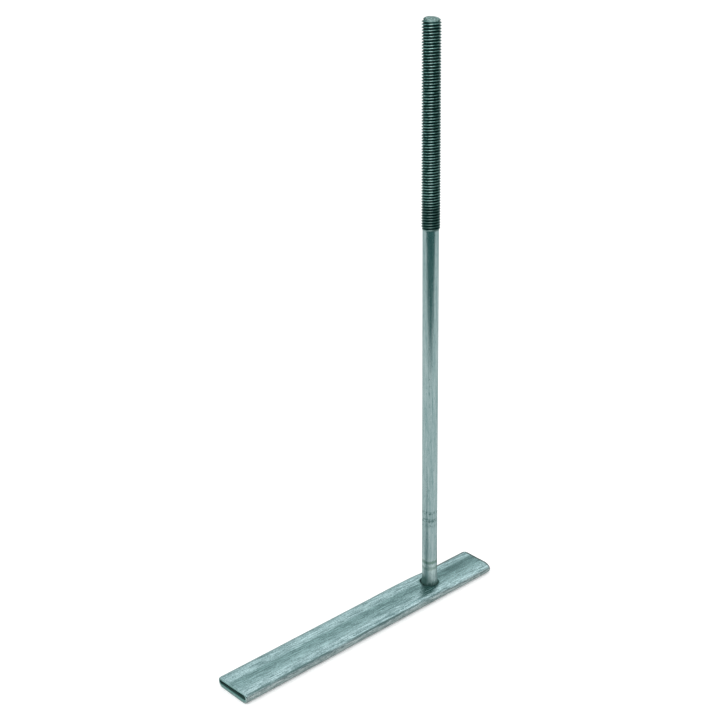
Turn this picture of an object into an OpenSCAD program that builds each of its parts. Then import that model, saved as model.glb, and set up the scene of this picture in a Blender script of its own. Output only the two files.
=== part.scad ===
// Wall-plate anchor: a threaded steel rod riveted into a foot that is a round tube pressed flat.
// Millimetres. The origin is on the rod's axis, in the plane of the foot's underside. +Z runs up
// the rod, +X along the foot towards its short end, and +Y across it towards the back fold.

/* [Rod] */
// Height of the rod's top above the underside of the foot
rod_height = 395; // [250:5:600]
// Diameter of the plain shank, which is the blank that the thread is rolled on
shank_d = 10.6; // [9:0.1:11]
// Diameter of the flat at the rod's top
point_d = 9.8; // [7:0.1:10.5]
// Length of the tapered point below that flat
point_len = 1.5; // [0.5:0.1:4]

/* [Thread] */
// Diameter over the thread's crests
thread_d = 12; // [12:0.5:16]
// Length of the threaded end, from the rod's top to the last full turn
thread_len = 130; // [40:5:180]
// Length over which the last turn runs out into the shank
run_out_len = 1.75; // [1:0.25:4]

/* [Foot] */
// Length of the foot from the rod's axis to the long end
foot_long_side = 174.5; // [80:0.5:250]
// Length of the foot from the rod's axis to the short end
foot_short_side = 50; // [40:0.5:120]
// Outside diameter of the tube before it is pressed
tube_od = 21.5; // [20:0.5:30]
// Wall of the tube
tube_wall = 2.1; // [1.6:0.1:2.4]
// Thickness of the pressed tube on its long side
foot_t = 7.7; // [7:0.1:9]
// Depth of the shallow trough that pressing leaves along the top
trough_depth = 0.3; // [0.1:0.1:0.8]
// Width of that trough
trough_w = 17; // [12:0.5:20]
// Wall left at the outside of the two folds, where the slit between the walls ends
fold_wall = 1.1; // [0.7:0.1:2]
// Height of the slit at the back fold, which is the sharper one
back_slit_h = 2.2; // [1.6:0.1:2.6]
// Radius on the top edge of the cropped ends
crop_r = 1; // [0.3:0.1:1.5]
// Radius of the foot's four corners, seen from above
corner_r = 1.5; // [0.5:0.5:4]

/* [Flatter short side] */
// How much thinner the tube is pressed at its short end than on its long side
end_drop = 1.1; // [0.4:0.1:1.5]
// Place along the foot where the top starts to slope down to the short end
slope_start = -8; // [-30:1:0]
// Radius that the press gives the front fold there
press_front_r = 6; // [5:0.5:8]
// Radius that it gives the back fold there
press_back_r = 4.2; // [4:0.1:6]
// Depth of the trough there
short_trough_depth = 0.3; // [0.1:0.1:1]
// Width of the trough there
short_trough_w = 16; // [12:0.5:17]

/* [Rivet] */
// Diameter of the upset shoulder that stands on the foot's bottom wall
shoulder_d = 12; // [11.6:0.1:14]
// Height of the flare between the shoulder and the shank
flare_h = 6; // [2:0.5:10]
// Diameter of the closed rivet head, flush in the underside
rivet_head_d = 14; // [13:0.5:18]
// Depth of the rivet head's countersink
rivet_head_h = 1.3; // [0.8:0.1:1.5]
// Clearance round the shank in the bottom wall
shank_clearance = 0.1; // [0.05:0.05:0.3]
// Clearance round the shoulder in the top wall
shoulder_clearance = 0.2; // [0.1:0.05:0.5]
// Chamfer on the rim of the hole in the top wall
rim_chamfer = 0.4; // [0.1:0.1:0.8]

/* [Hidden] */
$fn = 96;
// Steps on the arcs of large radius: the trough and the flare
wide_fn = 360;
// How far a cutting tool passes outside the solid that it cuts
over = 1;
// How far the round on a cropped edge stands out from tangent, which leaves a faint line there
crop_ease = 0.03;

// Pressing keeps the tube's girth, so the thinner it is pressed, the wider it gets
foot_w = foot_t + PI * (tube_od - foot_t) / 2;
fold_y = foot_w / 2 - foot_t / 2;

// The slit ends in an arc at each fold. Both arcs stand on the bottom wall.
front_slit_r = foot_t / 2 - tube_wall;
back_slit_r = back_slit_h / 2;
front_slit_y = fold_wall + front_slit_r - foot_w / 2;
back_slit_y = foot_w / 2 - fold_wall - back_slit_r;
roof_angle = 2 * atan((front_slit_r - back_slit_r) / (back_slit_y - front_slit_y));

slope_angle = atan(end_drop / (foot_short_side - slope_start));
// Level of the trough's floor at the rod, which is a little way down the slope
seat_z = foot_t + slope_start * tan(slope_angle) - short_trough_depth;

// The press leaves an edge along each fold, which at the short end is at half the thickness. Each
// of its arcs is placed so that it ends on that edge.
edge_z = (foot_t - end_drop) / 2;
edge_y = fold_y + sqrt(pow(foot_t / 2, 2) - pow(foot_t / 2 - edge_z, 2));
function press_y(r) = edge_y - sqrt(pow(r, 2) - pow(r - edge_z, 2));

shank_r = shank_d / 2;
shoulder_r = shoulder_d / 2;
thread_start = rod_height - thread_len;
flare_top = seat_z + flare_h;
// The flare is a hollow arc that leaves the shank smoothly and meets the shoulder's edge
flare_step = shoulder_r - shank_r;
flare_arc_r = (pow(flare_step, 2) + pow(flare_h, 2)) / (2 * flare_step);

// The outline of the tube pressed flat, in the plane across the foot, standing on y = 0
module flat_oval() {
    for (side = [-1, 1])
        translate([side * fold_y, foot_t / 2]) circle(d = foot_t);
    translate([-fold_y, 0]) square([2 * fold_y, foot_t]);
}

// The slit between the walls in the same plane: its roof runs down from the front arc to the back
module slit_outline() {
    translate([front_slit_y, tube_wall + front_slit_r]) circle(r = front_slit_r);
    translate([back_slit_y, tube_wall + back_slit_r]) circle(r = back_slit_r);
    polygon([
        [front_slit_y, tube_wall],
        [back_slit_y, tube_wall],
        [back_slit_y + back_slit_r * sin(roof_angle), tube_wall + back_slit_r * (1 + cos(roof_angle))],
        [front_slit_y + front_slit_r * sin(roof_angle), tube_wall + front_slit_r * (1 + cos(roof_angle))]
    ]);
}

// Stands a section drawn in the plane across the foot along the foot, from one place to another
module along_foot(from, to) {
    translate([from, 0, 0]) rotate([90, 0, 90]) linear_extrude(height = to - from) children();
}

// The arc of a shallow trough in the same plane, where the top of the foot is at y = 0
module trough_outline(w, depth) {
    r = (pow(w / 2, 2) + pow(depth, 2)) / (2 * depth);
    translate([0, r - depth]) circle(r = r, $fn = wide_fn);
}

// What the press leaves of the section where it slopes, in the same plane. Below the folds it is
// open, so that it only shapes the upper side.
module press_outline() {
    front_y = -press_y(press_front_r);
    back_y = press_y(press_back_r);
    low = -3 * foot_t;
    difference() {
        union() {
            translate([front_y, foot_t - press_front_r]) circle(r = press_front_r);
            translate([front_y - press_front_r, low])
                square([press_front_r - front_y, foot_t - press_front_r - low]);
            translate([back_y, foot_t - press_back_r]) circle(r = press_back_r);
            translate([0, low]) square([back_y + press_back_r, foot_t - press_back_r - low]);
            translate([front_y, low]) square([back_y - front_y, foot_t - low]);
        }
        translate([0, foot_t]) trough_outline(short_trough_w, short_trough_depth);
    }
}

// The press's room along the foot. It slopes down past the rod to the short end, and on the long
// side it stands clear above the foot.
module press_room() {
    translate([slope_start, 0, foot_t]) rotate([0, slope_angle, 0]) translate([0, 0, -foot_t])
        along_foot(-2 * foot_long_side, 2 * foot_short_side) press_outline();
}

// The slit between the walls. The press brings its roof down by as much as the top of the foot.
module slit() {
    intersection() {
        along_foot(-foot_long_side - over, foot_short_side + over) slit_outline();
        translate([0, 0, -tube_wall]) press_room();
    }
}

// Rounds the top edge of a cropped end. The edge lies on the Y axis, and the foot at -x below it.
module crop_rounding() {
    translate([crop_ease - crop_r, -foot_w, crop_ease - crop_r]) difference() {
        cube([crop_r + over, 2 * foot_w, crop_r + foot_t]);
        rotate([-90, 0, 0]) cylinder(r = crop_r, h = 2 * foot_w);
    }
}

// Rounds the two upright corners of an end, which is at x = 0 with the foot at -x
module corner_rounding() {
    for (side = [0, 1]) mirror([0, side, 0])
        translate([-corner_r, foot_w / 2 - corner_r, -over]) difference() {
            cube([corner_r + over, corner_r + over, foot_t + 2 * over]);
            cylinder(r = corner_r, h = foot_t + 2 * over);
        }
}

// The stepped hole for the rod: countersunk and close in the bottom wall, wider in the top wall
module rivet_hole() {
    head_slope = (rivet_head_d / 2 - shank_r) / rivet_head_h;
    hole_r = shoulder_r + shoulder_clearance;
    translate([0, 0, -over]) cylinder(r = shank_r + shank_clearance, h = foot_t);
    translate([0, 0, -over])
        cylinder(r1 = rivet_head_d / 2 + over * head_slope, r2 = shank_r, h = rivet_head_h + over);
    translate([0, 0, tube_wall]) cylinder(r = hole_r, h = foot_t);
    translate([0, 0, seat_z - rim_chamfer])
        cylinder(r1 = hole_r, r2 = hole_r + 2 * foot_t, h = 2 * foot_t);
}

module foot_tube() {
    color([0.60, 0.67, 0.67])
    difference() {
        intersection() {
            along_foot(-foot_long_side, foot_short_side) difference() {
                flat_oval();
                translate([0, foot_t]) trough_outline(trough_w, trough_depth);
            }
            press_room();
        }
        slit();
        rivet_hole();
        translate([-foot_long_side, 0, foot_t]) mirror([1, 0, 0]) crop_rounding();
        translate([foot_short_side, 0, foot_t - end_drop]) rotate([0, slope_angle, 0]) crop_rounding();
        translate([-foot_long_side, 0, 0]) mirror([1, 0, 0]) corner_rounding();
        translate([foot_short_side, 0, 0]) corner_rounding();
    }
}

// Half the rod's outline, from the rivet head in the underside up to the point
module rod_profile() {
    polygon([
        [0, 0],
        [rivet_head_d / 2, 0],
        [shank_r, rivet_head_h],
        [shank_r, thread_start - run_out_len],
        [thread_d / 2, thread_start],
        [thread_d / 2, rod_height - point_len],
        [point_d / 2, rod_height],
        [0, rod_height]
    ]);
    difference() {
        translate([0, tube_wall]) square([shoulder_r, flare_top - tube_wall]);
        translate([shank_r + flare_arc_r, flare_top]) circle(r = flare_arc_r, $fn = wide_fn);
    }
}

// One steel bar: rolled thread above, plain shank, then the upset shoulder and the rivet
module anchor_rod() {
    color([0.52, 0.59, 0.59])
    rotate_extrude() rod_profile();
}

anchor_rod();
foot_tube();
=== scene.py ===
"""Wall plate anchor: an M12 rod riveted upright into a foot of pressed tube, on a white studio floor."""

import math

import bmesh
import bpy
from mathutils import Matrix, Vector, noise


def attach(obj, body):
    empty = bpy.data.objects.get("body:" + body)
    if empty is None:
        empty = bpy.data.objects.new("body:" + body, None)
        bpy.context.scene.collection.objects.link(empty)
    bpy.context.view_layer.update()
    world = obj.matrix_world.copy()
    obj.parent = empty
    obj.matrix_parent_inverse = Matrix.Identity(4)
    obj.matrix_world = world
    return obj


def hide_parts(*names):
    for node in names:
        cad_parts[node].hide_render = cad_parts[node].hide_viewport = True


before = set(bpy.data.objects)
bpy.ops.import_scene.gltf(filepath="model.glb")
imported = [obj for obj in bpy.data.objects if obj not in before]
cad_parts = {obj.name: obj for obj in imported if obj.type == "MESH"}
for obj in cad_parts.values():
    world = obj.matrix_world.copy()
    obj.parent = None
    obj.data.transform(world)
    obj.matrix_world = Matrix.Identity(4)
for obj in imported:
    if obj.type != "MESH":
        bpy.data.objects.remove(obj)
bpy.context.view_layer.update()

# The foot: one length of half-inch steel tube pressed flat, which leaves a shallow trough along the
# top and a dark slit between the walls. It is cropped at both ends, drilled for the rod and zinc
# plated, and the shear left its short end a little out of square.
MM = 0.001
LONG_END = -174.5
SHORT_END = 50.0
HALF_WIDTH = 14.67
# How far back the front corner of the short end stands, and where along the foot that slant begins
SHORT_END_SLANT = 1.1
SLANT_START = 36
# Radius of the top edge, and of the corners seen from above, at the long and at the short end
LONG_EDGE_R = 0.5
SHORT_EDGE_R = 0.9
LONG_CORNER_R = 0.9
SHORT_CORNER_R = 2.5
# Thickness of the pressed tube at places along it: it swells a little towards the rod, is pressed
# flatter beyond it, and waves a little all along
PLAIN_T = 7.7
THICKNESS = [
    (-174.5, 7.36), (-134, 7.4), (-100, 7.56), (-51, 7.74), (-22, 8.0), (-9, 7.8), (16, 6.6), (50, 6.7),
]
THICKNESS_WAVE = 0.05
# The radius of the front fold and of the back fold, which the press makes rounder at the short end
PLAIN_FOLD_R = 3.8
FRONT_FOLD = [(-16, PLAIN_FOLD_R), (10, 6.2)]
BACK_FOLD = [(-12, PLAIN_FOLD_R), (14, 4.4)]
# The trough: its depth at places along the foot, half its width, how far its middle line lies
# towards the back, and how much the depth and that line waver
TROUGH_DEPTH = [(-174.5, 0.12), (-158, 0.3), (-8, 0.36), (12, 0.32), (38, 0.3), (50, 0.1)]
TROUGH_HALF = 9.4
TROUGH_MIDDLE = 0.8
DEPTH_WAVE = 0.2
MIDDLE_WAVE = 0.7
# The slit: its floor, its height at each fold, the wall left outside it, how much higher its round
# end in the front fold stands, and how much nearer its other end comes to the back fold
SLIT_FLOOR = 2.05
FRONT_SLIT_H = 3.7
BACK_SLIT_H = 2.9
FOLD_WALL = 1.15
FRONT_LIFT = 0.35
BACK_REACH = 0.3
# How much of the tube's loss in thickness the back end of the slit takes up
BACK_DROP_SHARE = 0.8
# Where the corners are rounded off, the slit stays out by a share of that, up to a limit
FRONT_STAYS = (0.4, 0.5)
BACK_STAYS = (0.5, 0.4)
# Its roof sags between the folds by a share of the difference between its two ends
SAG_SHARE = 0.5
SAG_FULLNESS = 0.8
SAG_PACE = 1.15
# At both ends the slit opens into a small chamfered mouth
MOUTH_DEPTH = 0.25
MOUTH_LENGTH = 3
MOUTH_WIDER = 0.2
# Steps round the outline: along the flat, round each lower and upper quarter, and along the top
FLAT_STEPS = 26
LOWER_STEPS = 10
UPPER_STEPS = 12
TOP_STEPS = 44
# Steps between the cross sections, which stand closer by the rod, and the room they leave at the ends
PLAIN_STEP = 1.5
CLOSE_STEP = 0.8
CLOSE_PART = (-14, 12)
LONG_END_ROOM = 3
SHORT_END_ROOM = 2.6
# Faces that meet at more than this angle meet at a sharp edge
FOOT_SHARP = math.radians(32)


def along(keys, x):
    """Eased value at x between the places of a list of (place, value) pairs."""
    if x <= keys[0][0]:
        return keys[0][1]
    for (x0, v0), (x1, v1) in zip(keys, keys[1:]):
        if x <= x1:
            s = (x - x0) / (x1 - x0)
            return v0 + (v1 - v0) * s * s * (3 - 2 * s)
    return keys[-1][1]


def wave(x, rate, across, up):
    """A slow wave along the foot, between -1 and 1, cut through the noise at a line of its own."""
    return noise.noise(Vector((x * rate, across, up)))


def rounding(x, long_r, short_r):
    """How far an end edge stands back at x, when it is rounded by one radius at each end."""
    r = long_r if x < 0 else short_r
    depth = max(LONG_END + r - x, x - SHORT_END + r, 0)
    return r - math.sqrt(max(r * r - depth * depth, 0))


def quarter(cy, cz, ry, rz, start, steps):
    """Points of a quarter of an ellipse, without its last one."""
    angles = [math.radians(start + 90 * i / steps) for i in range(steps)]
    return [(cy + ry * math.cos(a), cz + rz * math.sin(a)) for a in angles]


def straight(y0, z0, y1, z1, steps):
    """Points of a straight line, without its last one."""
    return [(y0 + (y1 - y0) * i / steps, z0 + (z1 - z0) * i / steps) for i in range(steps)]


def outside_loop(x):
    """The pressed tube's outline at x, from the front of its underside round past the back fold."""
    t = along(THICKNESS, x) + THICKNESS_WAVE * wave(x, 0.08, 5.7, 2)
    middle_z = t / 2
    t -= rounding(x, LONG_EDGE_R, SHORT_EDGE_R)
    half = HALF_WIDTH - rounding(x, LONG_CORNER_R, SHORT_CORNER_R)
    front = along(FRONT_FOLD, x)
    back = along(BACK_FOLD, x)
    # Where the front fold is rounder, its lower half takes up half of that
    low = middle_z + 0.5 * max(front - PLAIN_FOLD_R, 0)
    loop = straight(low - half, 0, half - middle_z, 0, FLAT_STEPS)
    loop += quarter(half - middle_z, middle_z, middle_z, middle_z, -90, LOWER_STEPS)
    loop += quarter(half - back, middle_z, back, t - middle_z, 0, UPPER_STEPS)
    top = straight(half - back, t, front - half, t, TOP_STEPS)
    depth = along(TROUGH_DEPTH, x) * (1 + DEPTH_WAVE * wave(x, 0.045, 3.1, 0))
    middle = TROUGH_MIDDLE + MIDDLE_WAVE * wave(x, 0.03, 0, 7)
    for i, (y, z) in enumerate(top):
        across = (y - middle) / TROUGH_HALF
        if abs(across) < 1:
            z -= depth * (0.5 + 0.5 * math.cos(math.pi * across))
        top[i] = (y, z)
    loop += top
    loop += quarter(front - half, middle_z, front, t - middle_z, 90, UPPER_STEPS)
    loop += quarter(low - half, middle_z, low, middle_z, 180, LOWER_STEPS)
    return loop


def slit_loop(x, wider=0.0):
    """The outline of the slit at x, with as many points and in the same order as the outside."""
    drop = PLAIN_T - along(THICKNESS, x)
    front_r = (FRONT_SLIT_H - drop) / 2 + wider
    back_r = (BACK_SLIT_H - drop * BACK_DROP_SHARE) / 2 + wider
    floor_z = SLIT_FLOOR - wider
    cut = rounding(x, LONG_CORNER_R, SHORT_CORNER_R)
    reach = HALF_WIDTH - cut - FOLD_WALL + wider
    front_y = front_r - reach - min(FRONT_STAYS[0] * cut, FRONT_STAYS[1])
    back_y = reach + min(BACK_STAYS[0] * cut, BACK_STAYS[1]) + BACK_REACH - back_r
    front_z = floor_z + front_r + FRONT_LIFT
    roof = straight(back_y, floor_z + 2 * back_r, front_y, front_z + front_r, TOP_STEPS)
    for i, (y, z) in enumerate(roof):
        s = (y - front_y) / (back_y - front_y)
        swing = math.sin(math.pi * min(s * SAG_PACE, 1)) ** SAG_FULLNESS
        roof[i] = (y, z - max(SAG_SHARE * (front_r - back_r) * swing, 0))
    loop = straight(front_y, front_z - front_r, back_y, floor_z, FLAT_STEPS)
    loop += quarter(back_y, floor_z + back_r, back_r, back_r, -90, LOWER_STEPS)
    loop += quarter(back_y, floor_z + back_r, back_r, back_r, 0, UPPER_STEPS)
    loop += roof
    loop += quarter(front_y, front_z, front_r, front_r, 90, UPPER_STEPS)
    loop += quarter(front_y, front_z, front_r, front_r, 180, LOWER_STEPS)
    return loop


def foot_places():
    """Places of the cross sections along the foot: closer on the rounded ends and by the rod."""
    turns = [1 - math.cos(math.radians(a)) for a in range(0, 91, 18)]
    places = {LONG_END + r * s for s in turns for r in (LONG_EDGE_R, LONG_CORNER_R)}
    places |= {SHORT_END - r * s for s in turns for r in (SHORT_EDGE_R, SHORT_CORNER_R)}
    x = LONG_END + LONG_END_ROOM
    while x < SHORT_END - SHORT_END_ROOM:
        places.add(x)
        x += CLOSE_STEP if CLOSE_PART[0] < x < CLOSE_PART[1] else PLAIN_STEP
    return sorted(places)


def foot_mesh():
    """The pressed tube as one closed mesh: the outside, the slit, and the two cropped faces."""
    places = foot_places()
    bm = bmesh.new()
    outer = [[bm.verts.new((x, y, z)) for y, z in outside_loop(x)] for x in places]
    inner = []
    for x in places:
        # The slit's own outline starts a little inside the ends, behind the mouth
        from_long = max(1 - (x - LONG_END) / MOUTH_LENGTH, 0)
        from_short = max(1 - (SHORT_END - x) / MOUTH_LENGTH, 0)
        inside_x = x + MOUTH_DEPTH * from_long - MOUTH_DEPTH * from_short
        inner.append([bm.verts.new((inside_x, y, z)) for y, z in slit_loop(x)])
    rims = []
    for end in (0, -1):
        rims.append([bm.verts.new((places[end], y, z)) for y, z in slit_loop(places[end], MOUTH_WIDER)])
    inner = [rims[0], *inner, rims[1]]
    count = len(outer[0])
    for loops in (outer, inner):
        for a, b in zip(loops, loops[1:]):
            for k in range(count):
                n = (k + 1) % count
                bm.faces.new((a[k], a[n], b[n], b[k]))
    for end in (0, -1):
        for k in range(count):
            n = (k + 1) % count
            bm.faces.new((outer[end][k], outer[end][n], inner[end][n], inner[end][k]))
    # The slanted cut draws the last stretch of the short side back towards the front
    for v in bm.verts:
        reach = min(max((v.co.x - SLANT_START) / (SHORT_END - SLANT_START), 0), 1)
        v.co.x -= SHORT_END_SLANT * reach**2 * (HALF_WIDTH - v.co.y) / (2 * HALF_WIDTH)
    bmesh.ops.recalc_face_normals(bm, faces=bm.faces)
    if bm.calc_volume(signed=True) < 0:
        bmesh.ops.reverse_faces(bm, faces=bm.faces)
    return bm


def lathe_mesh(profile, sides):
    """A closed solid turned about the Z axis. The profile's first and last points are on the axis."""
    bm = bmesh.new()
    rings = []
    turns = [2 * math.pi * k / sides for k in range(sides)]
    for r, z in profile:
        if r == 0:
            rings.append([bm.verts.new((0, 0, z))])
            continue
        rings.append([bm.verts.new((r * math.cos(a), r * math.sin(a), z)) for a in turns])
    for a, b in zip(rings, rings[1:]):
        for k in range(sides):
            n = (k + 1) % sides
            corners = [a[k % len(a)], a[n % len(a)], b[n % len(b)], b[k % len(b)]]
            bm.faces.new(list(dict.fromkeys(corners)))
    bmesh.ops.recalc_face_normals(bm, faces=bm.faces)
    return bm


def piece_from(bm, name):
    """A finished mesh in millimetres becomes an object in metres, at the origin."""
    bmesh.ops.scale(bm, vec=(MM, MM, MM), verts=bm.verts)
    mesh = bpy.data.meshes.new(name)
    bm.to_mesh(mesh)
    bm.free()
    piece = bpy.data.objects.new(name, mesh)
    bpy.context.scene.collection.objects.link(piece)
    return piece


def settle(piece):
    """Turns a piece and its modifiers into one plain mesh."""
    evaluated = piece.evaluated_get(bpy.context.evaluated_depsgraph_get())
    mesh = bpy.data.meshes.new_from_object(evaluated)
    piece.modifiers.clear()
    piece.data = mesh


foot = piece_from(foot_mesh(), "foot")
# The stepped hole: countersunk and close to the rod in the bottom wall, wider and chamfered in the top
SEAT_Z = 7.15
HOLE_R = 6.2
CLOSE_R = 5.4
SINK_R = 7.0
SINK_DEPTH = 1.3
STEP_Z = 2.6
# The chamfer, as steps out from the hole's wall and up from the trough's floor
CHAMFER = [(0, -0.45), (0.12, -0.2), (1.5, 1.3)]
# The tool that cuts the hole reaches past the foot on both sides
BELOW = -2
ABOVE = 12
HOLE_SIDES = 96
hole_profile = [
    (0, BELOW),
    (SINK_R - BELOW, BELOW),
    (SINK_R, 0),
    (CLOSE_R, SINK_DEPTH),
    (CLOSE_R, STEP_Z),
    (HOLE_R, STEP_Z),
    *[(HOLE_R + step_out, SEAT_Z + step_up) for step_out, step_up in CHAMFER],
    (HOLE_R + CHAMFER[-1][0], ABOVE),
    (0, ABOVE),
]
hole = piece_from(lathe_mesh(hole_profile, HOLE_SIDES), "hole")
drill = foot.modifiers.new("hole", "BOOLEAN")
drill.operation = "DIFFERENCE"
drill.solver = "EXACT"
drill.object = hole
settle(foot)
bpy.data.objects.remove(hole)
foot.data.shade_smooth()
foot.data.set_sharp_from_angle(angle=FOOT_SHARP)

# How deep each point lies inside the tube's outline, for the darker colour in the slit and in the hole
INSIDE_START = 0.7
INSIDE_FADE = 0.4
inside = foot.data.attributes.new("inside", "FLOAT", "POINT")
for v in foot.data.vertices:
    x, y, z = v.co / MM
    half_t = along(THICKNESS, x) / 2
    over_fold = max(abs(y) - (HALF_WIDTH - half_t), 0)
    depth = half_t - math.hypot(over_fold, z - half_t)
    inside.data[v.index].value = min(max((depth - INSIDE_START) / INSIDE_FADE, 0), 1)


def node(tree, kind, inputs=None, **settings):
    """A node of a tree. Its inputs are given by name or number, each as a value or as an output."""
    made = tree.nodes.new(kind)
    for name, value in settings.items():
        setattr(made, name, value)
    for key, value in (inputs or {}).items():
        if isinstance(value, bpy.types.NodeSocket):
            tree.links.new(value, made.inputs[key])
        else:
            made.inputs[key].default_value = value
    return made


def calc(tree, operation, *terms):
    """A Math node's result."""
    return node(tree, "ShaderNodeMath", dict(enumerate(terms)), operation=operation).outputs[0]


def product(tree, value, *others):
    """Values multiplied together."""
    for other in others:
        value = calc(tree, "MULTIPLY", value, other)
    return value


def total(tree, value, *others):
    """Values added together."""
    for other in others:
        value = calc(tree, "ADD", value, other)
    return value


def mixture(tree, *parts):
    """Values added together, each times its share."""
    return total(tree, *[product(tree, value, share) for value, share in parts])


def span(tree, value, low, high, start=0.0, end=1.0):
    """A value eased from start to end while it goes from low to high."""
    inputs = {"Value": value, "From Min": low, "From Max": high, "To Min": start, "To Max": end}
    return node(tree, "ShaderNodeMapRange", inputs, interpolation_type="SMOOTHSTEP").outputs[0]


def blend(tree, factor, a, b, way="MIX"):
    """Two colours mixed."""
    inputs = {0: factor, 6: a, 7: b}
    return node(tree, "ShaderNodeMix", inputs, data_type="RGBA", blend_type=way).outputs[2]


def vector_calc(tree, place, other, operation, output=0):
    """A Vector Math node's result."""
    return node(tree, "ShaderNodeVectorMath", {0: place, 1: other}, operation=operation).outputs[output]


def towards(tree, place, side):
    """How far a place lies out from the rod's axis towards a side, given in degrees from +X."""
    direction = (math.cos(math.radians(side)), math.sin(math.radians(side)), 0)
    return vector_calc(tree, place, direction, "DOT_PRODUCT", "Value")


def from_axis(tree, place):
    """How far a place lies from the rod's axis."""
    flat = vector_calc(tree, place, (1, 1, 0), "MULTIPLY")
    return node(tree, "ShaderNodeVectorMath", {0: flat}, operation="LENGTH").outputs["Value"]


def stored(tree, name):
    """A value that is stored on the mesh."""
    return node(tree, "ShaderNodeAttribute", attribute_name=name).outputs["Fac"]


def stretched_noise(tree, place, stretch, turn=0.0, detail=3.0, roughness=0.6):
    """Noise on millimetres, with its own fineness along each axis."""
    turned = node(tree, "ShaderNodeVectorRotate", {"Vector": place, "Angle": turn}, rotation_type="Z_AXIS")
    scaled = vector_calc(tree, turned.outputs[0], stretch, "MULTIPLY")
    inputs = {"Vector": scaled, "Scale": 1.0, "Detail": detail, "Roughness": roughness}
    return node(tree, "ShaderNodeTexNoise", inputs).outputs["Fac"]


def shift(tree, pattern, reach):
    """Noise as a shift to both sides, from half the reach one way to half of it the other way."""
    return calc(tree, "MULTIPLY_ADD", pattern, reach, -reach / 2)


def zinc_skin():
    """Bright zinc plate on drawn steel: lengthwise streaks, patches, slanted rub marks and pits."""
    tree = bpy.data.node_groups.new("zinc_skin", "ShaderNodeTree")
    face = tree.interface
    place = face.new_socket("Place", in_out="INPUT", socket_type="NodeSocketVector")
    place.description = "Millimetres, with X along the piece"
    for label in ("Streaks", "Patches", "Rub marks", "Pits"):
        face.new_socket(label, in_out="INPUT", socket_type="NodeSocketFloat").default_value = 1.0
    for label in ("Tone", "Dullness", "Height"):
        face.new_socket(label, in_out="OUTPUT", socket_type="NodeSocketFloat")
    given = node(tree, "NodeGroupInput").outputs
    place = given["Place"]
    streak = stretched_noise(tree, place, (0.06, 0.62, 0.62), detail=5.0, roughness=0.65)
    fine = stretched_noise(tree, place, (0.11, 1.5, 1.5), detail=3.0, roughness=0.7)
    scratch = stretched_noise(tree, place, (0.05, 2.6, 2.6), turn=math.radians(4), detail=2.0)
    patch = stretched_noise(tree, place, (0.06, 0.3, 0.3), detail=4.0, roughness=0.62)
    broad = stretched_noise(tree, place, (0.022, 0.06, 0.06), detail=1.0)
    slant = stretched_noise(tree, place, (0.07, 0.85, 0.3), turn=math.radians(28), detail=2.0)
    cross = stretched_noise(tree, place, (0.5, 1.9, 1.9), turn=math.radians(-50), detail=3.0)
    speck = stretched_noise(tree, place, (1.1, 1.1, 1.1), detail=2.0)
    bloom = stretched_noise(tree, place, (0.45, 0.75, 0.75), detail=3.0, roughness=0.7)
    grain = stretched_noise(tree, place, (0.9, 1.7, 1.7), detail=2.0, roughness=0.7)
    pits = product(tree, span(tree, speck, 0.6, 0.7), given["Pits"])
    rubs = product(tree, span(tree, slant, 0.54, 0.68), given["Rub marks"])
    # Each pattern changes the tone by its share, up and down from its own middle
    tone = 0.5
    for amount, share, pattern, middle in (
        (given["Streaks"], 0.9, streak, 0.5),
        (given["Streaks"], 2.4, fine, 0.5),
        (given["Streaks"], 0.5, span(tree, scratch, 0.56, 0.66), 0.15),
        (given["Streaks"], -0.5, span(tree, scratch, 0.44, 0.36), 0.12),
        (given["Patches"], 1.6, grain, 0.5),
        (given["Patches"], 0.6, patch, 0.5),
        (given["Patches"], 0.5, broad, 0.5),
        (given["Rub marks"], 0.9, cross, 0.5),
        (given["Patches"], 0.3, span(tree, bloom, 0.56, 0.75), 0.1),
        (1.0, 0.16, rubs, 0.2),
        (1.0, -0.6, pits, 0.05),
    ):
        change = product(tree, calc(tree, "SUBTRACT", pattern, middle), share, amount)
        tone = total(tree, tone, change)
    dull = mixture(tree, (patch, 0.5), (pits, 0.5), (streak, 0.3))
    height = mixture(tree, (streak, 0.45), (fine, 0.2), (cross, 0.25), (pits, -0.5))
    node(tree, "NodeGroupOutput", {"Tone": tone, "Dullness": dull, "Height": height})
    return tree


# The plating is dull at a glance along the surface
GLANCE_TONE = (0.72, 0.76, 0.76, 1)


def metal(name):
    """An empty plated-metal material: its tree, its shader, and Object coordinates in millimetres."""
    made = bpy.data.materials.new(name)
    made.use_nodes = True
    tree = made.node_tree
    shader = tree.nodes["Principled BSDF"]
    shader.inputs["Metallic"].default_value = 1.0
    shader.inputs["Specular Tint"].default_value = GLANCE_TONE
    objects = node(tree, "ShaderNodeTexCoord").outputs["Object"]
    place = node(tree, "ShaderNodeVectorMath", {0: objects, "Scale": 1 / MM}, operation="SCALE")
    return made, tree, shader, place.outputs[0]


def coat(tree, shader, colour, rough, height, depth):
    """Joins colour, roughness and a fine relief of a depth in millimetres to the shader."""
    bump = node(tree, "ShaderNodeBump", {"Height": height, "Distance": depth * MM, "Strength": 1.0})
    tree.links.new(colour, shader.inputs["Base Color"])
    tree.links.new(rough, shader.inputs["Roughness"])
    tree.links.new(bump.outputs[0], shader.inputs["Normal"])


# How much of a dark tone's red and of its blue is lost
RED_LOSS = 0.36
BLUE_LOSS = 0.06


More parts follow.
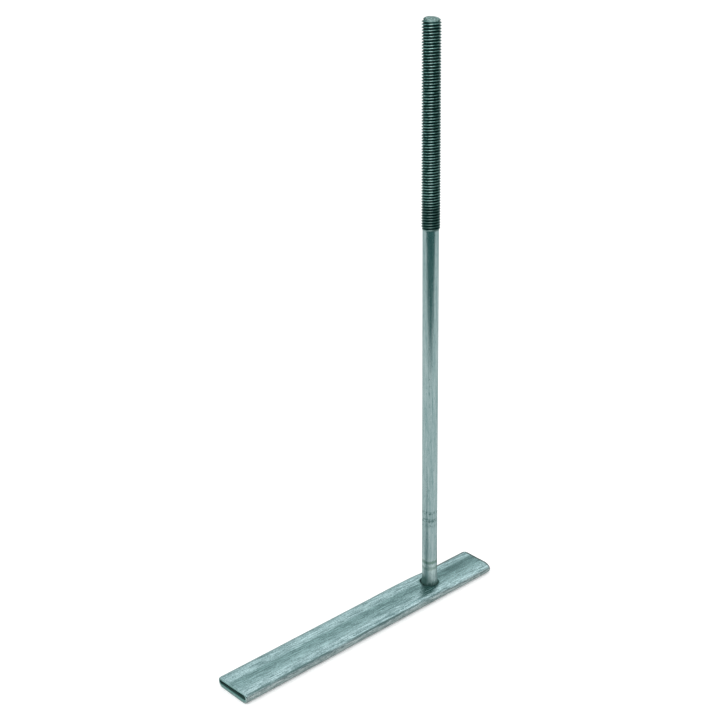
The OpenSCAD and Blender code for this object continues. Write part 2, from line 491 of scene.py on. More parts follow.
def tone_line(tree, value, reach, stops):
    """Factors at places up to a reach either way, as a ramp that is greener where it is darker."""
    bounds = {"Value": value, "From Min": -reach, "From Max": reach}
    ramp = node(tree, "ShaderNodeValToRGB", {"Fac": node(tree, "ShaderNodeMapRange", bounds).outputs[0]})
    line = ramp.color_ramp
    line.interpolation = "EASE"
    for i, (where, factor) in enumerate(stops):
        at = (where + reach) / (2 * reach)
        stop = line.elements[i] if i < 2 else line.elements.new(at)
        stop.position = at
        shade = 1 - factor
        stop.color = (factor * (1 - RED_LOSS * shade), factor, factor * (1 - BLUE_LOSS * shade), 1)
    return ramp.outputs[0]


WHITE = (1, 1, 1, 1)
ZINC_DARK = (0.175, 0.290, 0.300, 1)
ZINC_BRIGHT = (0.610, 0.830, 0.855, 1)
skin = zinc_skin()
foot_zinc, tree, shader, place = metal("foot_zinc")
finish = node(tree, "ShaderNodeGroup", {"Place": place}, node_tree=skin).outputs
tone = finish["Tone"]
lengthways, crosswise, height = node(tree, "ShaderNodeSeparateXYZ", {0: place}).outputs
colour = blend(tree, tone, ZINC_DARK, ZINC_BRIGHT)

# Painted reflection: the top is painted darker along the trough, with a sharp far edge, and darker
# still on the flatter short side. Its tones are factors at places across the foot. Each range below is
# from and to, and then the values that span gives there where they aren't 0 and 1.
LONG_TROUGH_SHADE = [
    (-14, 1.02), (-10.5, 0.98), (-7, 0.81), (-3.5, 0.69), (0, 0.59), (2.4, 0.57), (4.2, 0.88), (7.5, 0.93),
    (14, 0.78),
]
SHORT_TROUGH_SHADE = [
    (-14, 1.0), (-10.5, 0.9), (-7, 0.76), (-3.5, 0.63), (0, 0.5), (3.6, 0.41), (6.2, 0.84), (8, 0.9),
    (14, 0.68),
]
TROUGH_REACH = 15
TROUGH_WANDER = 4.0
SHORT_SIDE = (-8, 14)
TOP_FACE = (4.2, 5.8)
wobble = stretched_noise(tree, place, (0.045, 0.3, 0.3), detail=4.0)
wander = shift(tree, wobble, TROUGH_WANDER)
across = total(tree, crosswise, wander)
long_trough_shade = tone_line(tree, across, TROUGH_REACH, LONG_TROUGH_SHADE)
short_trough_shade = tone_line(tree, across, TROUGH_REACH, SHORT_TROUGH_SHADE)
trough = blend(tree, span(tree, lengthways, *SHORT_SIDE), long_trough_shade, short_trough_shade)
trough = blend(tree, span(tree, height, *TOP_FACE), WHITE, trough)
colour = blend(tree, 1.0, colour, trough, "MULTIPLY")

# Painted shade: the folds' faces are painted a little greyer and darker, and the shade reaches less high
# on the short side
FOLD_FACE = (6.6, 4.6)
FOLD_SHADE = (0.60, 0.53, 0.51, 1)
FOLD_LOWER = (*SHORT_SIDE, 0.0, 0.9)
fold_height = total(tree, height, span(tree, lengthways, *FOLD_LOWER))
fold_shade = blend(tree, span(tree, fold_height, *FOLD_FACE), WHITE, FOLD_SHADE)
colour = blend(tree, 1.0, colour, fold_shade, "MULTIPLY")

# Painted shade: a broken dark line runs along the crease where the top meets the front fold. It fades
# beyond the rod.
LINE_BOTTOM = (5.5, 6.1)
LINE_TOP = (6.95, 6.4)
LINE_FRONT = (-12.2, -12.9)
LINE_BREAKS = (0.34, 0.52, 0.25, 0.8)
LINE_FADES = (12, 2, 0.25, 1.0)
CREASE_SHADE = (0.075, 0.150, 0.145, 1)
crease_breaks = stretched_noise(tree, place, (0.05, 0.4, 0.4), detail=4.0)
crease_shade_line = product(
    tree,
    span(tree, height, *LINE_BOTTOM),
    span(tree, height, *LINE_TOP),
    span(tree, crosswise, *LINE_FRONT),
    span(tree, crease_breaks, *LINE_BREAKS),
    span(tree, lengthways, *LINE_FADES),
)
colour = blend(tree, crease_shade_line, colour, CREASE_SHADE)

# Dirt and painted shade lie round the hole's rim, and a nearly black painted shadow fills its chamfer
RIM_DIRT_AND_SHADE_SPAN = (8.3, 6.2)
RIM_SHARE = 0.85
CHAMFER_SHADOW = (7.0, 6.4, 0.0, 0.85)
RIM_DIRT_AND_SHADE_GREEN = (0.065, 0.170, 0.152, 1)
CHAMFER_SHADOW_BLACK = (0.012, 0.048, 0.042, 1)
from_rod = from_axis(tree, place)
rim_dirt_and_shade = product(tree, span(tree, total(tree, from_rod, wander), *RIM_DIRT_AND_SHADE_SPAN), RIM_SHARE)
colour = blend(tree, rim_dirt_and_shade, colour, RIM_DIRT_AND_SHADE_GREEN)
colour = blend(tree, span(tree, from_rod, *CHAMFER_SHADOW), colour, CHAMFER_SHADOW_BLACK)

# Painted reflection of the rod: a dark patch runs from the rod towards the front over the front
# fold, and drifts to the left on its way
REFLECTION_SIDE = 228
REFLECTION_HALF = (7.4, 2.4)
REFLECTION_START = (4.0, 6.0)
REFLECTION_END = (29, 12, 0.0, 0.95)
REFLECTION_SKIN = (0.72, 0.42, 0.4, 1.0)
REFLECTION_DRIFT = 0.2
REFLECTION_LEFT = 1.2
REFLECTION_WANDER = 9.0
REFLECTION_FOLD = (-13.4, -12.2, 0.3, 1.0)
REFLECTION_GREEN = (0.040, 0.115, 0.105, 1)
ahead = towards(tree, place, REFLECTION_SIDE)
drift = calc(tree, "MULTIPLY_ADD", ahead, REFLECTION_DRIFT, -REFLECTION_LEFT)
aside = total(tree, towards(tree, place, REFLECTION_SIDE + 90), drift, shift(tree, wobble, REFLECTION_WANDER))
rod_reflection = product(
    tree,
    span(tree, calc(tree, "ABSOLUTE", aside), *REFLECTION_HALF),
    span(tree, ahead, *REFLECTION_START),
    span(tree, ahead, *REFLECTION_END),
    span(tree, tone, *REFLECTION_SKIN),
    span(tree, crosswise, *REFLECTION_FOLD),
)
colour = blend(tree, rod_reflection, colour, REFLECTION_GREEN)

# The walls of the slit and of the hole are darker and duller
DEEP_GREEN = (0.165, 0.330, 0.305, 1)
deep = stored(tree, "inside")
colour = blend(tree, deep, colour, DEEP_GREEN)
dulled = calc(tree, "MAXIMUM", calc(tree, "MAXIMUM", rim_dirt_and_shade, rod_reflection), deep)

# A thin brown-grey line follows the far edge and the short end's edge
SHORT_LINE = (2.5, 1.4)
FAR_LINE = (4.3, 3.0)
FAR_LINE_GROWS = (-10, 20, 0.4, 1.0)
LINE_PATCHES = (0.3, 0.6, 0.55, 0.95)
LINE_LOW = (2.5, 4.0)
EDGE_BROWN = (0.075, 0.100, 0.095, 1)
slanted = calc(tree, "MULTIPLY_ADD", crosswise, -SHORT_END_SLANT / (2 * HALF_WIDTH), lengthways)
short_end_at = SHORT_END - SHORT_END_SLANT / 2
short_line = span(tree, slanted, short_end_at - SHORT_LINE[0], short_end_at - SHORT_LINE[1])
far_line = product(
    tree,
    span(tree, crosswise, HALF_WIDTH - FAR_LINE[0], HALF_WIDTH - FAR_LINE[1]),
    span(tree, lengthways, *FAR_LINE_GROWS),
)
edge_lines = product(
    tree,
    calc(tree, "MAXIMUM", short_line, far_line),
    span(tree, wobble, *LINE_PATCHES),
    span(tree, height, *LINE_LOW),
)
colour = blend(tree, edge_lines, colour, EDGE_BROWN)

# The cropped face at the long end is a little darker than the plating round it
CROP_SKIN = (LONG_END + 0.14, LONG_END + 0.04)
CROP_SHARE = 0.4
CROP_GREY = (0.20, 0.30, 0.30, 1)
cropped = product(tree, span(tree, lengthways, *CROP_SKIN), calc(tree, "SUBTRACT", 1, deep), CROP_SHARE)
colour = blend(tree, cropped, colour, CROP_GREY)

FOOT_ROUGH = 0.16
FOOT_RELIEF = 0.05
rough = total(tree, mixture(tree, (finish["Dullness"], 0.22), (dulled, 0.35)), FOOT_ROUGH)
coat(tree, shader, colour, rough, finish["Height"], FOOT_RELIEF)
foot.data.materials.clear()
foot.data.materials.append(foot_zinc)
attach(foot, "root")
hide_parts("foot_tube")

# The rod: one drawn steel bar of 10.6 mm with a rolled M12 thread at its top. Its lower end is upset
# to a shoulder on the foot's bottom wall, and its tip is riveted over, flush in the underside.
SIDES = 72
SHANK_R = 5.3
THREAD_LOW = 263.3
ROD_TOP = 394.99
# The rivet's face, head and neck below, then the shoulder, and the flare above it into the shank
ROD_BOTTOM = 0.02
RIVET_FACE_R = 6.6
RIVET_HEAD_R = 6.85
RIVET_EDGE_Z = 0.1
NECK_R = 5.35
HEAD_TOP = 1.3
SHOULDER_R = 5.95
SHOULDER_LOW = 2.15
FLARE_TOP = 13.0
FLARE_STEPS = 12
FLARE_CURVE = 1.5
FIRST_RING = FLARE_TOP + 0.6
LAST_RING = THREAD_LOW - 0.3
RING_STEP = 3.0
# The vice that held the bar for rolling left rows of small slanted dents, each with its height, its
# half width and its depth. The lowest is faint.
DENT_ROWS = [(64.2, 1.3, 0.16), (58.4, 1.5, 0.16), (54.2, 1.2, 0.08)]
GRIP_LOW = 48
GRIP_HIGH = 68
GRIP_STEP = 0.45
# The dents' pattern: its fineness, its slant and twist, the level that dents rise above, and their gain
DENT_FINENESS = 0.55
DENT_SLANT = 0.5
DENT_TWIST = 1.1
DENT_LEVEL = 0.02
DENT_GAIN = 4
ROD_SHARP = math.radians(50)
shank = [
    (0, ROD_BOTTOM),
    (RIVET_FACE_R, ROD_BOTTOM),
    (RIVET_HEAD_R, RIVET_EDGE_Z),
    (NECK_R, HEAD_TOP),
    (NECK_R, SHOULDER_LOW),
    (SHOULDER_R, SHOULDER_LOW),
    (SHOULDER_R, SEAT_Z),
]
for i in range(1, FLARE_STEPS + 1):
    share = i / FLARE_STEPS
    z = SEAT_Z + (FLARE_TOP - SEAT_Z) * share
    shank.append((SHANK_R + (SHOULDER_R - SHANK_R) * (1 - share) ** FLARE_CURVE, z))
z = FIRST_RING
while z < LAST_RING:
    shank.append((SHANK_R, z))
    z += GRIP_STEP if GRIP_LOW < z < GRIP_HIGH else RING_STEP
shank.append((SHANK_R, THREAD_LOW))
shank.append((0, THREAD_LOW))
bar = lathe_mesh(shank, SIDES)
for v in bar.verts:
    x, y, z = v.co
    r = math.hypot(x, y)
    if not GRIP_LOW < z < GRIP_HIGH or r < 1:
        continue
    turn = math.atan2(y, x)
    along_slant = turn * SHANK_R * DENT_FINENESS + z * DENT_SLANT
    across_slant = z * DENT_FINENESS - turn * DENT_TWIST
    form = DENT_GAIN * max(noise.noise(Vector((along_slant, across_slant, 4))) - DENT_LEVEL, 0)
    push = sum(depth * max(1 - ((z - row) / half) ** 2, 0) for row, half, depth in DENT_ROWS)
    v.co.x *= 1 - push * form / r
    v.co.y *= 1 - push * form / r
# The bar stays open at its top ring, which takes the thread
lid = [v for v in bar.verts if v.co.z > THREAD_LOW - 0.01 and v.co.xy.length < 0.001]
bmesh.ops.delete(bar, geom=lid, context="VERTS")
rod = piece_from(bar, "rod")

# The thread's form over half a turn: places from the crest, and how deep it is there, between 0 on
# the crest and 1 in the root. It has a flat crest, straight flanks at nearly sixty degrees to each
# other, and a rounded root.
FORM = [(0, 0), (0.05, 0.012), (0.1, 0.06), (0.14, 0.14), (0.36, 0.85), (0.43, 0.98), (0.5, 1)]
ROWS_PER_TURN = 14
# A shift by half a turn puts a root where the turns start
TURN_SHIFT = 0.5
# The thread grows out of the blank between these heights above its low end, as shares of the pitch,
# and at the other end over this depth below the rim
GROWS_OVER = (0.4, 1.5)
TOP_GROWS_OVER = 0.9
# The end's edge: how far down it is rounded and how much radius it loses on its square side, and
# how much more of each on the rolled side
EDGE_LENGTH = 0.6
ROLLED_LENGTH = 1.1
EDGE_LOSS = 0.3
ROLLED_LOSS = 0.75
EDGE_CURVE = 1.6
# The end face takes up this share of a turn of rows, and its looks begin a little under the rim
END_FACE_SHARE = 0.92
END_FACE_SKIN = (0.45 * MM, 0.1 * MM)
WELD_GAP = 0.004 * MM


def thread_tree():
    """A node tree that rolls a right-hand thread on top of the bar it is given, and shears its end."""
    tree = bpy.data.node_groups.new("rolled_thread", "GeometryNodeTree")
    tree.is_modifier = True
    face = tree.interface
    face.new_socket("Geometry", in_out="INPUT", socket_type="NodeSocketGeometry")
    face.new_socket("Sides", in_out="INPUT", socket_type="NodeSocketInt")
    for label in ("Pitch", "Crest radius", "Root radius", "Blank radius", "Low end", "Top"):
        face.new_socket(label, in_out="INPUT", socket_type="NodeSocketFloat")
    for label in ("Shear drop", "Shear side", "Rolled side"):
        face.new_socket(label, in_out="INPUT", socket_type="NodeSocketFloat")
    face.new_socket("Material", in_out="INPUT", socket_type="NodeSocketMaterial")
    face.new_socket("Geometry", in_out="OUTPUT", socket_type="NodeSocketGeometry")
    given = node(tree, "NodeGroupInput").outputs
    pitch = given["Pitch"]
    # A sheet of points: x counts round the bar, y counts along the turns
    turns = calc(tree, "DIVIDE", calc(tree, "SUBTRACT", given["Top"], given["Low end"]), pitch)
    rows = calc(tree, "CEIL", product(tree, total(tree, turns, 2), ROWS_PER_TURN))
    counts = {"Vertices X": total(tree, given["Sides"], 1), "Vertices Y": total(tree, rows, 1)}
    grid = node(tree, "GeometryNodeMeshGrid", {"Size X": 1, "Size Y": 1, **counts})
    spot = node(tree, "GeometryNodeInputPosition").outputs[0]
    sheet = node(tree, "ShaderNodeSeparateXYZ", {0: spot}).outputs
    around = total(tree, sheet[0], 0.5)
    row = product(tree, total(tree, sheet[1], 0.5), calc(tree, "DIVIDE", rows, ROWS_PER_TURN))
    # Each row of points follows the helix, so a crest runs along one row
    turn = total(tree, row, calc(tree, "SUBTRACT", around, 1))
    climb = calc(tree, "MULTIPLY_ADD", turn, pitch, given["Low end"])
    # The bar was sheared to length at a slant, so its rim is lower on one side
    angle = product(tree, around, 2 * math.pi)
    lean = calc(tree, "COSINE", calc(tree, "SUBTRACT", angle, given["Shear side"]))
    half_drop = product(tree, given["Shear drop"], 0.5)
    drop = calc(tree, "MULTIPLY_ADD", lean, half_drop, half_drop)
    rim = calc(tree, "SUBTRACT", given["Top"], drop)
    height = calc(tree, "MINIMUM", calc(tree, "MAXIMUM", climb, given["Low end"]), rim)
    within = calc(tree, "PINGPONG", total(tree, row, TURN_SHIFT), 0.5)
    form = node(tree, "ShaderNodeFloatCurve", {"Value": within})
    curve = form.mapping.curves[0]
    for where, deep in FORM[1:-1]:
        curve.points.new(where, deep)
    curve.points[0].location = FORM[0]
    curve.points[-1].location = FORM[-1]
    for point in curve.points:
        point.handle_type = "VECTOR"
    form.mapping.extend = "HORIZONTAL"
    form.mapping.update()
    form = form.outputs[0]
    full = calc(tree, "SUBTRACT", given["Crest radius"], given["Root radius"])
    threaded = calc(tree, "SUBTRACT", given["Crest radius"], product(tree, full, form))
    above = calc(tree, "SUBTRACT", height, given["Low end"])
    below = calc(tree, "SUBTRACT", rim, height)
    grow_from, grow_to = [product(tree, pitch, share) for share in GROWS_OVER]
    top_rise = span(tree, below, 0.0, TOP_GROWS_OVER * MM)
    rise = product(tree, span(tree, above, grow_from, grow_to), top_rise)
    grown = node(tree, "ShaderNodeMix", {"Factor": rise, "A": given["Blank radius"], "B": threaded})
    # The shear rolled the edge over on one side, and left it nearly square on the other
    leaning = calc(tree, "COSINE", calc(tree, "SUBTRACT", angle, given["Rolled side"]))
    rolled = calc(tree, "MULTIPLY_ADD", leaning, 0.5, 0.5)
    reach = calc(tree, "MULTIPLY_ADD", rolled, ROLLED_LENGTH * MM, EDGE_LENGTH * MM)
    loss = calc(tree, "MULTIPLY_ADD", rolled, ROLLED_LOSS * MM, EDGE_LOSS * MM)
    near_end = calc(tree, "MAXIMUM", calc(tree, "SUBTRACT", 1, calc(tree, "DIVIDE", below, reach)), 0)
    edge = product(tree, loss, calc(tree, "POWER", near_end, EDGE_CURVE))
    radius = calc(tree, "SUBTRACT", grown.outputs[0], edge)
    # Beyond the rim the rows of points draw in over the slanted end face, to its middle
    beyond = calc(tree, "MAXIMUM", calc(tree, "SUBTRACT", climb, rim), 0)
    end_length = product(tree, pitch, END_FACE_SHARE)
    inwards = calc(tree, "SUBTRACT", 1, calc(tree, "DIVIDE", beyond, end_length))
    inwards = calc(tree, "MAXIMUM", inwards, 0)
    radius = product(tree, radius, inwards)
    level = product(tree, calc(tree, "SUBTRACT", 1, inwards), lean, half_drop)
    height = total(tree, height, level)
    x = product(tree, radius, calc(tree, "COSINE", angle))
    y = product(tree, radius, calc(tree, "SINE", angle))
    point = node(tree, "ShaderNodeCombineXYZ", {0: x, 1: y, 2: height}).outputs[0]
    # The attributes are stored while the sheet still lies flat, because they are worked out from it
    thread = grid.outputs["Mesh"]
    sheared = span(tree, below, *END_FACE_SKIN)
    for name, value in (("groove", product(tree, form, rise)), ("sheared", sheared)):
        inputs = {"Geometry": thread, "Name": name, "Value": value}
        store = node(tree, "GeometryNodeStoreNamedAttribute", inputs, data_type="FLOAT", domain="POINT")
        thread = store.outputs[0]
    thread = node(tree, "GeometryNodeSetPosition", {"Geometry": thread, "Position": point}).outputs[0]
    join = node(tree, "GeometryNodeJoinGeometry")
    for part in (given["Geometry"], thread):
        tree.links.new(part, join.inputs[0])
    weld = node(tree, "GeometryNodeMergeByDistance", {"Geometry": join.outputs[0], "Distance": WELD_GAP})
    real = node(tree, "GeometryNodeRealizeInstances", {0: weld.outputs[0]}).outputs[0]
    paint = node(tree, "GeometryNodeSetMaterial", {"Geometry": real, "Material": given["Material"]})
    node(tree, "NodeGroupOutput", {"Geometry": paint.outputs[0]})
    return tree


ROD_DARK = (0.137, 0.231, 0.231, 1)
ROD_BRIGHT = (0.352, 0.440, 0.443, 1)
rod_zinc, tree, shader, place = metal("rod_zinc")
east, north, height = node(tree, "ShaderNodeSeparateXYZ", {0: place}).outputs
upright = node(tree, "ShaderNodeCombineXYZ", {0: height, 1: east, 2: north}).outputs[0]
# Drawing the bar left its streaks long
drawn = vector_calc(tree, upright, (0.35, 1, 1), "MULTIPLY")
amounts = {"Streaks": 0.6, "Patches": 0.4, "Rub marks": 0.25, "Pits": 0.6}
finish = node(tree, "ShaderNodeGroup", {"Place": drawn, **amounts}, node_tree=skin).outputs
tone = finish["Tone"]
colour = blend(tree, tone, ROD_DARK, ROD_BRIGHT)

# Dirt and painted shade fill the thread's grooves. The crests have a dull shine, and less of it on the
# lower turns.
THREAD_BEGINS = (THREAD_LOW + 0.5, THREAD_LOW + 2.2)
LOWER_TURNS = (THREAD_LOW + 22, THREAD_LOW + 14)
LOWER_SHARE = 0.65
WORN = (0.35, 0.65)
GROOVE_DARK_SPAN = (0.05, 0.50)
CREST_DARK = (0.030, 0.110, 0.096, 1)
CREST_BRIGHT = (0.270, 0.500, 0.470, 1)
CREST_BLACK = (0.020, 0.060, 0.052, 1)
GROOVE_DIRT_AND_SHADE = (0.008, 0.050, 0.042, 1)
groove = stored(tree, "groove")
worn = stretched_noise(tree, upright, (0.8, 0.6, 0.6), detail=4.0, roughness=0.7)
crest = blend(tree, span(tree, worn, *WORN), CREST_DARK, CREST_BRIGHT)
lower_turns = span(tree, height, *LOWER_TURNS)
crest = blend(tree, product(tree, lower_turns, LOWER_SHARE), crest, CREST_BLACK)
ring = blend(tree, span(tree, groove, *GROOVE_DARK_SPAN), crest, GROOVE_DIRT_AND_SHADE)

# Painted shade darkens the thread's right side and, more faintly, its left edge, as seen from the
# front, and beside it a painted highlight runs down the crests that face the front
SHADED_SIDE = 318
HIGHLIGHT_SIDE = 228
HIGHLIGHT_OFFSET = 0.6
HIGHLIGHT_HALF = (1.9, 0.2)
HIGHLIGHT_FACE = (1, 3)
HIGHLIGHT_CRESTS = (0.7, 0.15)
HIGHLIGHT_LOWER = (0, 1, 1, 0.5)
HIGHLIGHT_SHARE = 0.5
HIGHLIGHT_TONE = (0.60, 0.82, 0.80, 1)
SIDE_SHADE_SPAN = (0.2, 3.0)
EDGE_SHADE_SPAN = (-3.0, -5.2, 0.0, 0.5)
SIDE_SHADE_SHARE = 0.5
SIDE_SHADE_BLACK = (0.010, 0.040, 0.035, 1)
sideways = towards(tree, place, SHADED_SIDE)
side_shade = total(tree, span(tree, sideways, *SIDE_SHADE_SPAN), span(tree, sideways, *EDGE_SHADE_SPAN))
ring = blend(tree, product(tree, side_shade, SIDE_SHADE_SHARE), ring, SIDE_SHADE_BLACK)
# Painted highlight: bright crests in the middle of the thread, facing the front
crest_highlight = product(
    tree,
    span(tree, calc(tree, "ABSOLUTE", total(tree, sideways, HIGHLIGHT_OFFSET)), *HIGHLIGHT_HALF),
    span(tree, towards(tree, place, HIGHLIGHT_SIDE), *HIGHLIGHT_FACE),
    span(tree, groove, *HIGHLIGHT_CRESTS),
    span(tree, lower_turns, *HIGHLIGHT_LOWER),
    HIGHLIGHT_SHARE,
)
ring = blend(tree, crest_highlight, ring, HIGHLIGHT_TONE)
threaded = span(tree, height, *THREAD_BEGINS)
colour = blend(tree, threaded, colour, ring)

# The foot of the shank is mottled bare
BARE_PATCHES = (0.4, 0.6, 0.2, 0.7)
BARE_ENDS = (34, 20)
BARE_GREY = (0.450, 0.560, 0.550, 1)
bare = stretched_noise(tree, upright, (0.35, 0.5, 0.5), detail=4.0, roughness=0.75)
bare = product(tree, span(tree, bare, *BARE_PATCHES), span(tree, height, *BARE_ENDS))
colour = blend(tree, bare, colour, BARE_GREY)

# Old coating is smeared round it in one line, and more faintly in another below
SMEAR_LOW = (23.2, 24.6)
SMEAR_HIGH = (27.0, 25.6)
FAINT_LOW = (18.6, 20.0)
FAINT_HIGH = (22.4, 21.0)
SMEAR_WANDER = 5.0
SMEAR_SHARE = 0.75
FAINT_SHARE = 0.55
SMEAR_GREEN = (0.09, 0.17, 0.13, 1)
ragged = stretched_noise(tree, upright, (0.5, 0.45, 0.45), detail=5.0, roughness=0.75)
level = total(tree, height, shift(tree, ragged, SMEAR_WANDER))
smear = product(tree, span(tree, level, *SMEAR_LOW), span(tree, level, *SMEAR_HIGH))
faint = product(tree, span(tree, level, *FAINT_LOW), span(tree, level, *FAINT_HIGH))
colour = blend(tree, mixture(tree, (smear, SMEAR_SHARE), (faint, FAINT_SHARE)), colour, SMEAR_GREEN)

# Dirt lies in the vice's dents, and a little of it all over the grip
GRIP_STARTS = (51, 55)
GRIP_ENDS = (67, 64)
# A row's dirt is full up to this share of its half width, and ends at this one
ROW_FULL = 0.4
ROW_ENDS = 1.3
ROW_SHARE = 0.75
GRIP_SHARE = 0.2
DENT_SPECKS = (0.42, 0.58)
DENT_SHARE = 0.8
DENT_BLACK = (0.05, 0.11, 0.105, 1)
in_rows = 0.0
for row, half, depth in DENT_ROWS:
    off_row = calc(tree, "ABSOLUTE", calc(tree, "SUBTRACT", height, row))
    near = span(tree, off_row, half * ROW_ENDS, half * ROW_FULL)
    in_rows = calc(tree, "MULTIPLY_ADD", near, depth / DENT_ROWS[0][2], in_rows)
gripped = product(tree, span(tree, height, *GRIP_STARTS), span(tree, height, *GRIP_ENDS))
speckle = stretched_noise(tree, upright, (0.8, 0.95, 0.95), detail=3.0)
held = mixture(tree, (in_rows, ROW_SHARE), (gripped, GRIP_SHARE))
dents = product(tree, span(tree, speckle, *DENT_SPECKS), held, DENT_SHARE)
colour = blend(tree, dents, colour, DENT_BLACK)

# Dirt and painted shade stand at the foot of the shank, and the painted shade climbs higher on its
# left side as seen from the front
FOOT_DIRT_AND_SHADE = (12.0, 7.2)
CLIMBING_SHADE = (17, 11)
SHADED_LEFT = 137.84
CLIMBING_SHADE_FACE = (0.4, 3.2, 0.0, 0.9)
FOOT_SHADE_SKIN = (0.7, 0.45, 0.5, 1.0)
FOOT_SHADE_SHARE = 0.85
FOOT_DIRT_AND_SHADE_GREEN = (0.050, 0.150, 0.130, 1)
foot_dirt_and_shade = product(tree, span(tree, level, *FOOT_DIRT_AND_SHADE), span(tree, tone, *FOOT_SHADE_SKIN))
climbing_shade_face = span(tree, towards(tree, place, SHADED_LEFT), *CLIMBING_SHADE_FACE)
climbing_shade = product(tree, span(tree, level, *CLIMBING_SHADE), climbing_shade_face)
foot_dirt_and_shade = calc(tree, "MAXIMUM", foot_dirt_and_shade, climbing_shade)
colour = blend(tree, product(tree, foot_dirt_and_shade, FOOT_SHADE_SHARE), colour, FOOT_DIRT_AND_SHADE_GREEN)

# The sheared end is mottled and lighter, and its rolled edge is dark
SHEARED_DARK = (0.055, 0.125, 0.112, 1)
SHEARED_BRIGHT = (0.420, 0.600, 0.580, 1)
SHEARED_PATCHES = (0.38, 0.62)
LIP_SIDE = 113.57
LIP_FACE = (0.8, 2.8)
LIP_RADIUS = (3.7, 4.3)
LIP_HEIGHT = (ROD_TOP - 3.0, ROD_TOP - 2.4, 0.0, 0.85)
LIP_GREEN = (0.035, 0.100, 0.088, 1)
end_face = stored(tree, "sheared")
mottle = stretched_noise(tree, place, (1.1, 0.6, 1.1), turn=0.6, detail=4.0, roughness=0.75)
mottled = blend(tree, span(tree, mottle, *SHEARED_PATCHES), SHEARED_DARK, SHEARED_BRIGHT)
colour = blend(tree, end_face, colour, mottled)
lip = product(
    tree,
    span(tree, towards(tree, place, LIP_SIDE), *LIP_FACE),
    span(tree, from_axis(tree, place), *LIP_RADIUS),
    span(tree, height, *LIP_HEIGHT),
)
colour = blend(tree, lip, colour, LIP_GREEN)

# The bar is shiniest in its upper half, and gets duller towards the foot
ROD_ROUGH = 0.13
DULLER_DOWN = (150, 40, 0.0, 0.09)
DULLEST_DOWN = (80, 20, 0.0, 0.12)
ROD_RELIEF = 0.03
rough = total(
    tree,
    mixture(tree, (finish["Dullness"], 0.2), (foot_dirt_and_shade, 0.3), (end_face, 0.2), (threaded, 0.1)),
    span(tree, height, *DULLER_DOWN),
    span(tree, height, *DULLEST_DOWN),
    ROD_ROUGH,
)
coat(tree, shader, colour, rough, finish["Height"], ROD_RELIEF)

# The thread is coarse M12. Sides are given in degrees from +X.
PITCH = 1.75
CREST_R = 6.0
ROOT_R = 4.95
SHEAR_DROP = 2.1
SHEAR_SIDE = 240
ROLLED_SIDE = 190
tree = thread_tree()
roll = rod.modifiers.new("rolled_thread", "NODES")
roll.node_group = tree
values = {
    "Sides": SIDES,
    "Pitch": PITCH * MM,
    "Crest radius": CREST_R * MM,
    "Root radius": ROOT_R * MM,
    "Blank radius": SHANK_R * MM,
    "Low end": THREAD_LOW * MM,
    "Top": ROD_TOP * MM,
    "Shear drop": SHEAR_DROP * MM,
    "Shear side": math.radians(SHEAR_SIDE),
    "Rolled side": math.radians(ROLLED_SIDE),
    "Material": rod_zinc,
}
for item in tree.interface.items_tree:
    if item.in_out == "INPUT" and item.name in values:
        roll[item.identifier] = values[item.name]
settle(rod)
bm = bmesh.new()
bm.from_mesh(rod.data)
bmesh.ops.recalc_face_normals(bm, faces=bm.faces)
bm.to_mesh(rod.data)
bm.free()
rod.data.shade_smooth()
rod.data.set_sharp_from_angle(angle=ROD_SHARP)
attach(rod, "root")
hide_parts("anchor_rod")

# The studio: a white floor under an even white sky, a soft lamp above the camera, and a dark room
# in front and a grey wall on the right that only show as reflections in the metal
AZIMUTH = math.radians(-42.155)
front = Vector((math.sin(AZIMUTH), -math.cos(AZIMUTH), 0))
side = Vector((math.cos(AZIMUTH), math.sin(AZIMUTH), 0))
up = Vector((0, 0, 1))
FLOOR_HALF = 12.0
FLOOR_Z = -0.0001
FLOOR_TONE = 0.95
FLOOR_GLOW = 0.18
ROOM_TONE = (0.075, 0.195, 0.19, 1)
WALL_TONE = (0.6, 0.6, 0.6, 1)
# Each is given by its corners, as distance in front, way to the right, and height, in metres. The
# dark room's floor starts half a metre in front of the rod, and nearer on the left.
DARK_ROOM = [
    (0.28, -1.6, 0.001),
    (0.46, -0.1, 0.001),
    (0.46, 0.85, 0.001),
    (3.0, -9.0, 0.001),
    (3.0, 0.0, 0.001),
    (3.0, 4.4, 0.001),
    (3.0, -9.0, 1.85),
    (3.0, 0.0, 1.85),
    (3.0, 4.4, 1.85),
]
ROOM_FACES = [(0, 1, 4, 3), (1, 2, 5, 4), (3, 4, 7, 6), (4, 5, 8, 7)]
GREY_WALL = [(1.1, 2.1, 0.0), (-1.0, 2.1, 0.0), (-1.0, 2.1, 1.25), (1.1, 2.1, 1.25)]
ONE_FACE = [(0, 1, 2, 3)]


def stage_sheet(name, corners, faces, tone):
    """A plain matt sheet of the stage, from corners in metres."""
    mesh = bpy.data.meshes.new(name)
    mesh.from_pydata(corners, [], faces)
    sheet = bpy.data.objects.new(name, mesh)
    bpy.context.scene.collection.objects.link(sheet)
    made = bpy.data.materials.new(name)
    made.use_nodes = True
    mesh.materials.append(made)
    shader = made.node_tree.nodes["Principled BSDF"]
    shader.inputs["Base Color"].default_value = tone
    shader.inputs["Roughness"].default_value = 1.0
    shader.inputs["Specular IOR Level"].default_value = 0.0
    return sheet, made.node_tree, shader


far = FLOOR_HALF
floor_corners = [(-far, -far, FLOOR_Z), (far, -far, FLOOR_Z), (far, far, FLOOR_Z), (-far, far, FLOOR_Z)]
floor_tone = (FLOOR_TONE, FLOOR_TONE, FLOOR_TONE, 1)
tree, shader = stage_sheet("floor", floor_corners, ONE_FACE, floor_tone)[1:]
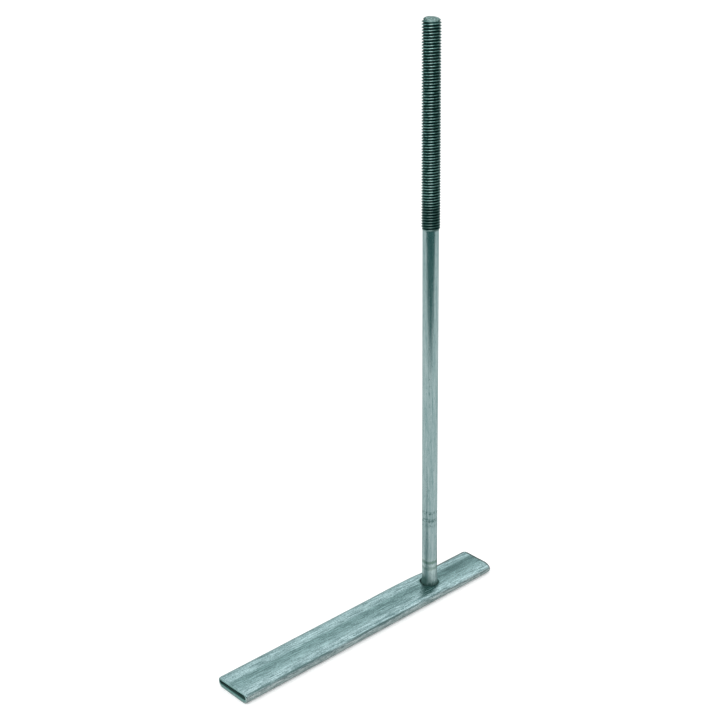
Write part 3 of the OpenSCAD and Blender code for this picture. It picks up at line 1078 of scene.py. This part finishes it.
# The floor glows a little where the camera or a reflection sees it, and lights nothing by that
rays = node(tree, "ShaderNodeLightPath").outputs
seen = calc(tree, "MAXIMUM", rays["Is Camera Ray"], rays["Is Glossy Ray"])
seen = calc(tree, "MAXIMUM", seen, rays["Is Transmission Ray"])
shader.inputs["Emission Color"].default_value = WHITE
tree.links.new(product(tree, seen, FLOOR_GLOW), shader.inputs["Emission Strength"])

for name, edges, faces, tone in (
    ("dark_room", DARK_ROOM, ROOM_FACES, ROOM_TONE),
    ("grey_wall", GREY_WALL, ONE_FACE, WALL_TONE),
):
    corners = [front * distance + side * right + up * height for distance, right, height in edges]
    wall = stage_sheet(name, corners, faces, tone)[0]
    wall.visible_camera = False
    wall.visible_diffuse = False
    wall.visible_shadow = False

# The sky is white, and a little greyer straight overhead
SKY_TOP = (0.8, 0.97, 1.0, 0.75)
world = bpy.data.worlds.new("studio")
bpy.context.scene.world = world
world.use_nodes = True
tree = world.node_tree
direction = node(tree, "ShaderNodeTexCoord").outputs["Generated"]
steep = node(tree, "ShaderNodeSeparateXYZ", {0: direction}).outputs[2]
sky = tree.nodes["Background"]
sky.inputs["Color"].default_value = WHITE
tree.links.new(span(tree, steep, *SKY_TOP), sky.inputs["Strength"])

# The lamp is wide and low, and aimed a little above the rod's middle
LAMP_WIDTH = 2.2
LAMP_HEIGHT = 0.4
LAMP_POWER = 9.5
LAMP_ELEVATION = math.radians(52)
LAMP_DISTANCE = 1.6
LAMP_AIM = Vector((0, 0, 0.25))
lamp_data = bpy.data.lights.new("key_lamp", "AREA")
lamp_data.shape = "RECTANGLE"
lamp_data.size = LAMP_WIDTH
lamp_data.size_y = LAMP_HEIGHT
lamp_data.energy = LAMP_POWER
lamp = bpy.data.objects.new("key_lamp", lamp_data)
lamp_way = front * math.cos(LAMP_ELEVATION) + up * math.sin(LAMP_ELEVATION)
lamp_turn = lamp_way.to_track_quat("Z", "Y").to_matrix().to_4x4()
lamp.matrix_world = Matrix.Translation(LAMP_AIM + lamp_way * LAMP_DISTANCE) @ lamp_turn
bpy.context.scene.collection.objects.link(lamp)

# The camera stands where the photographer stood: in front and to the left, a little above the rod.
# Its place is given in millimetres, and its lens as a share of the picture's width.
ELEVATION = math.radians(21.742)
ROLL = math.radians(-1.059)
DISTANCE = 903.498
SHIFT_RIGHT = -49.870
SHIFT_UP = 163.692
PICTURE_WIDTH = 718
FOCAL_SHARE = 1275.441 / PICTURE_WIDTH
SENSOR = 36
back = front * math.cos(ELEVATION) + up * math.sin(ELEVATION)
rise = side.cross(-back)
camera_right = side * math.cos(ROLL) + rise * math.sin(ROLL)
camera_up = rise * math.cos(ROLL) - side * math.sin(ROLL)
camera_place = (back * DISTANCE + camera_right * SHIFT_RIGHT + camera_up * SHIFT_UP) * MM
camera_turn = Matrix((camera_right, camera_up, back)).transposed().to_4x4()
camera_data = bpy.data.cameras.new("camera")
camera_data.sensor_width = SENSOR
camera_data.lens = SENSOR * FOCAL_SHARE
camera_data.clip_start = 0.01
camera_data.clip_end = 50
camera = bpy.data.objects.new("camera", camera_data)
camera.matrix_world = Matrix.Translation(camera_place) @ camera_turn
bpy.context.scene.collection.objects.link(camera)
bpy.context.scene.camera = camera

bpy.context.scene.view_settings.view_transform = "Standard"
